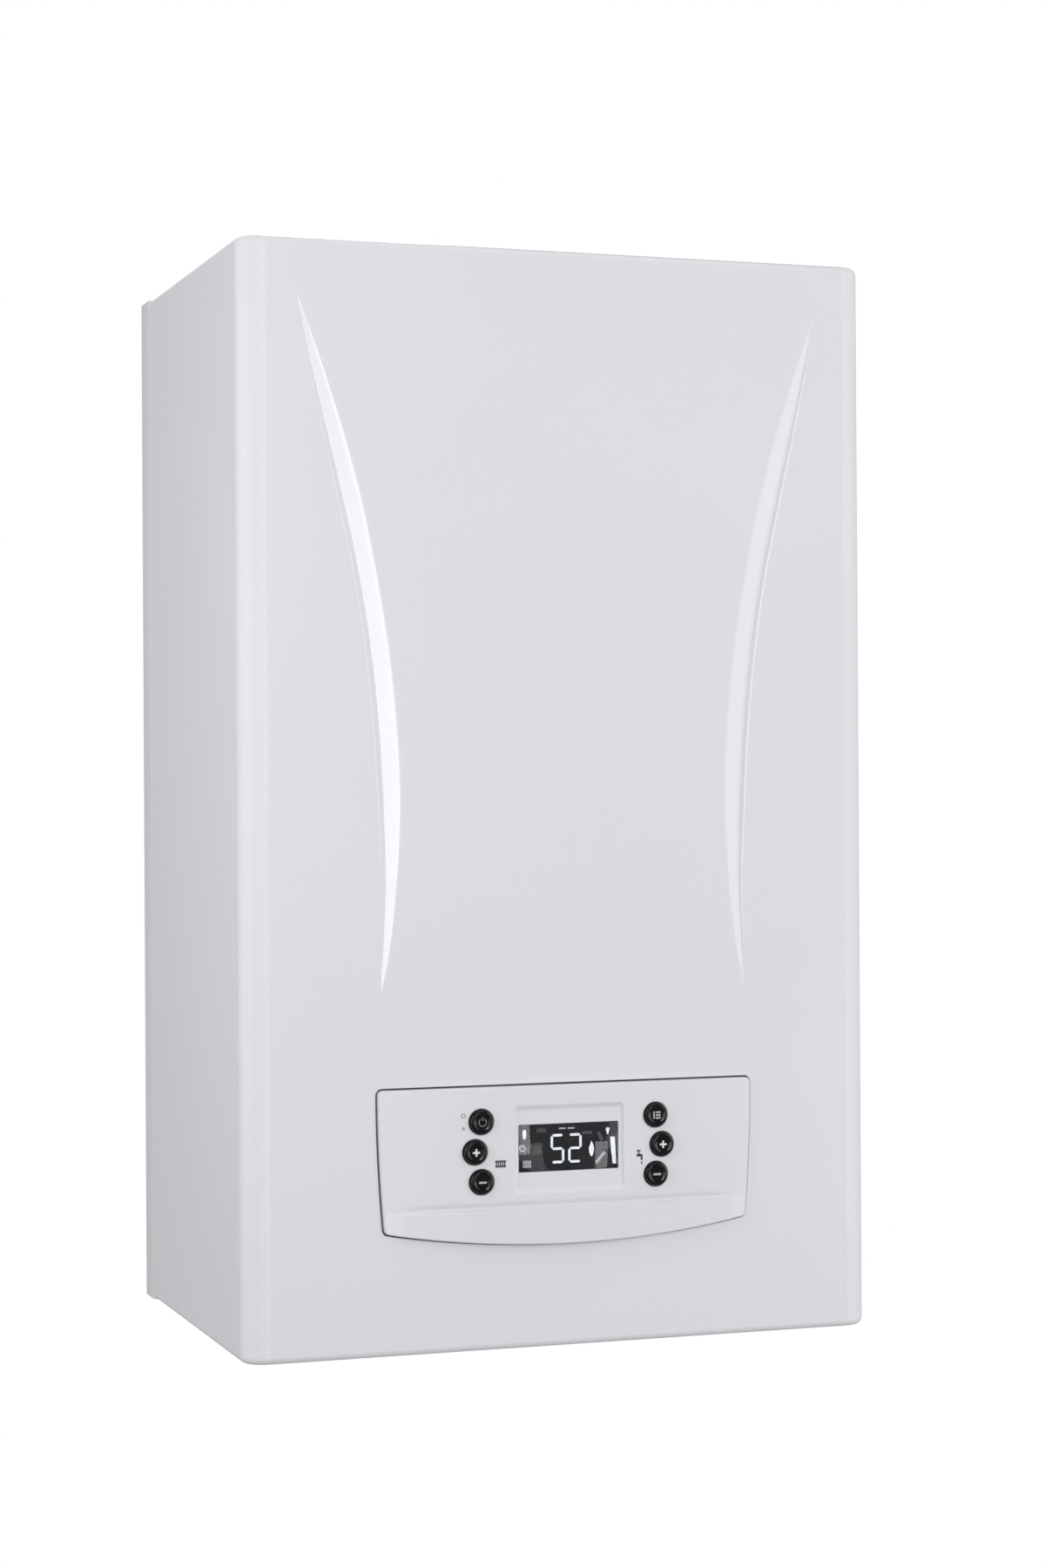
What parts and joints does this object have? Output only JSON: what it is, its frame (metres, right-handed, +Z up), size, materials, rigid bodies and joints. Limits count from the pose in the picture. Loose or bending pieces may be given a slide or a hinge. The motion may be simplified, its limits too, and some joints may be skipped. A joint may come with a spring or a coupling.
{
  "type": "combi boiler",
  "caption": "Wall-hung gas combi boiler: white folded steel casing with crescent flutes, moulded control fascia with display and push buttons, flue socket on top, pipe stubs below.",
  "frame": {"origin": "under the middle of the whole body, level with the bottom rim of the casing", "axes": "+X to the right seen from the front, +Y towards the wall, +Z up"},
  "size_m": [0.41, 0.295, 0.69],
  "materials": {
    "casing_white": "satin powder coat",
    "frame_white": "satin powder coat",
    "galvanised": "dull galvanised",
    "steel": "brushed",
    "zinc_screw": "zinc plated",
    "foam": "foam",
    "rubber_black": "matt",
    "fascia_white": "fine satin",
    "window_clear": "clear",
    "display_black": "gloss",
    "circuit_board": "solder mask",
    "button_black": "gloss",
    "box_grey": "fine matt",
    "flue_plastic": "satin",
    "flue_metal": "satin",
    "cast_aluminium": "as cast",
    "ceramic_white": "glazed",
    "fibre": "fibre",
    "motor_black": "matt",
    "copper": "drawn tube",
    "brass": "turned",
    "vessel_red": "semi gloss",
    "knob_red": "satin",
    "knob_black": "satin",
    "trap_grey": "satin",
    "hose_grey": "corrugated"
  },
  "bodies": {
    "boiler": {"rear_frame": "frame_white", "top_plate": "galvanised", "bottom_plate": "galvanised", "casing_seal": "foam", "wall_bracket": "galvanised", "control_fascia": "fascia_white", "display_window": "window_clear", "display_module": "display_black", "display_board": "circuit_board", "control_box": "box_grey", "control_box_cover": "box_grey", "main_board": "circuit_board", "flue_socket": "flue_metal", "flue_gasket": "rubber_black", "flue_duct": "flue_plastic", "heat_exchanger_shell": "steel", "heat_exchanger_coil": "cast_aluminium", "burner_tube": "steel", "burner_door_gasket": "fibre", "burner_door": "cast_aluminium", "ignition_electrode": "ceramic_white", "fan_housing": "cast_aluminium", "fan_motor": "motor_black", "gas_air_mixer": "cast_aluminium", "intake_silencer": "motor_black", "gas_valve": "cast_aluminium", "gas_pipe": "copper", "expansion_vessel": "vessel_red", "flow_manifold": "brass", "return_manifold": "brass", "plate_heat_exchanger": "steel", "diverter_motor": "box_grey", "pump_housing": "cast_aluminium", "pump_motor": "motor_black", "air_vent": "brass", "flow_pipe": "copper", "return_pipe": "copper", "safety_valve": "brass", "filling_valve": "brass", "condensate_trap": "trap_grey", "condensate_hose": "hose_grey", "heating_flow_stub": "brass", "hot_water_stub": "brass", "gas_stub": "brass", "cold_water_stub": "brass", "heating_return_stub": "brass", "cable_gland": "box_grey"},
    "casing": {"front_casing": "casing_white", "casing_screw_left": "zinc_screw", "casing_screw_right": "zinc_screw"},
    "fan_rotor": {"fan_impeller": "motor_black"},
    "pump_rotor": {"pump_impeller": "motor_black"},
    "filling_knob_body": {"filling_knob": "knob_black"},
    "safety_knob_body": {"safety_valve_knob": "knob_red"},
    "button_left_top_body": {"button_left_top": "button_black"},
    "button_left_middle_body": {"button_left_middle": "button_black"},
    "button_left_bottom_body": {"button_left_bottom": "button_black"},
    "button_right_top_body": {"button_right_top": "button_black"},
    "button_right_middle_body": {"button_right_middle": "button_black"},
    "button_right_bottom_body": {"button_right_bottom": "button_black"}
  },
  "joints": [
    {"name": "casing_removal", "type": "slide", "parent": "boiler", "child": "casing", "axis": [0, -1, 0], "range_m": [0, 0.3]},
    {"name": "button_left_top_press", "type": "slide", "parent": "boiler", "child": "button_left_top_body", "axis": [0, 1, 0], "range_m": [0, 0.001], "stiffness_N_per_m": 300, "springref_m": -0.002},
    {"name": "button_left_middle_press", "type": "slide", "parent": "boiler", "child": "button_left_middle_body", "axis": [0, 1, 0], "range_m": [0, 0.001], "stiffness_N_per_m": 300, "springref_m": -0.002},
    {"name": "button_left_bottom_press", "type": "slide", "parent": "boiler", "child": "button_left_bottom_body", "axis": [0, 1, 0], "range_m": [0, 0.001], "stiffness_N_per_m": 300, "springref_m": -0.002},
    {"name": "button_right_top_press", "type": "slide", "parent": "boiler", "child": "button_right_top_body", "axis": [0, 1, 0], "range_m": [0, 0.001], "stiffness_N_per_m": 300, "springref_m": -0.002},
    {"name": "button_right_middle_press", "type": "slide", "parent": "boiler", "child": "button_right_middle_body", "axis": [0, 1, 0], "range_m": [0, 0.001], "stiffness_N_per_m": 300, "springref_m": -0.002},
    {"name": "button_right_bottom_press", "type": "slide", "parent": "boiler", "child": "button_right_bottom_body", "axis": [0, 1, 0], "range_m": [0, 0.001], "stiffness_N_per_m": 300, "springref_m": -0.002},
    {"name": "fan_spin", "type": "hinge", "parent": "boiler", "child": "fan_rotor", "pos_m": [0.03, -0.066, 0.285], "axis": [0, -1, 0], "continuous": true},
    {"name": "pump_spin", "type": "hinge", "parent": "boiler", "child": "pump_rotor", "pos_m": [0.135, 0.03, 0.215], "axis": [0, -1, 0], "continuous": true},
    {"name": "filling_knob_turn", "type": "hinge", "parent": "boiler", "child": "filling_knob_body", "pos_m": [0.108, 0.028, 0.013], "axis": [0, 0, -1], "range_deg": [0, 540]},
    {"name": "safety_knob_turn", "type": "hinge", "parent": "boiler", "child": "safety_knob_body", "pos_m": [0.135, -0.005, 0.095], "axis": [0, -1, 0], "range_deg": [0, 90]}
  ]
}
